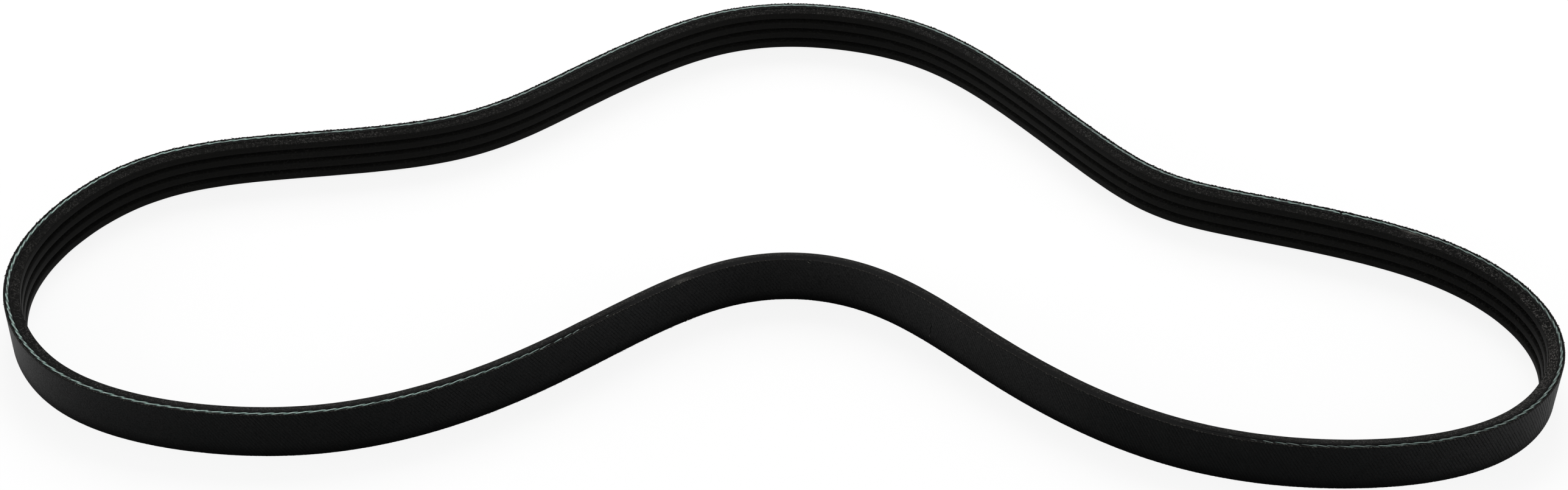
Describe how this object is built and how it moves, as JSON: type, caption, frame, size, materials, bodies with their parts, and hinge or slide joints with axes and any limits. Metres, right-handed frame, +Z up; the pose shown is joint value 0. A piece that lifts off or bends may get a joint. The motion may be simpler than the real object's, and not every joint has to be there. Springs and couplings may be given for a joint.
{
  "type": "serpentine belt",
  "caption": "Closed multi-rib rubber drive belt lying free on its edge, with a fabric back and a cord strand on its cut edge.",
  "frame": {"origin": "centre of the loop's bounding box, on the plane of the cut edge that the belt stands on", "axes": "+X along the loop's longest side, +Y across it towards the far run, +Z up along the belt's width"},
  "size_m": [0.4172, 0.1944, 0.0144],
  "materials": {
    "rib_rubber": "dull black ground rubber with short fibres",
    "back_fabric": "rubberised black twill, worn smooth",
    "cord_fibre": "twisted polyester cord with a pale green-grey dip"
  },
  "bodies": {
    "root": {"ribbed_body": "rib_rubber", "backing_ply": "back_fabric", "edge_cord": "cord_fibre"}
  },
  "joints": []
}
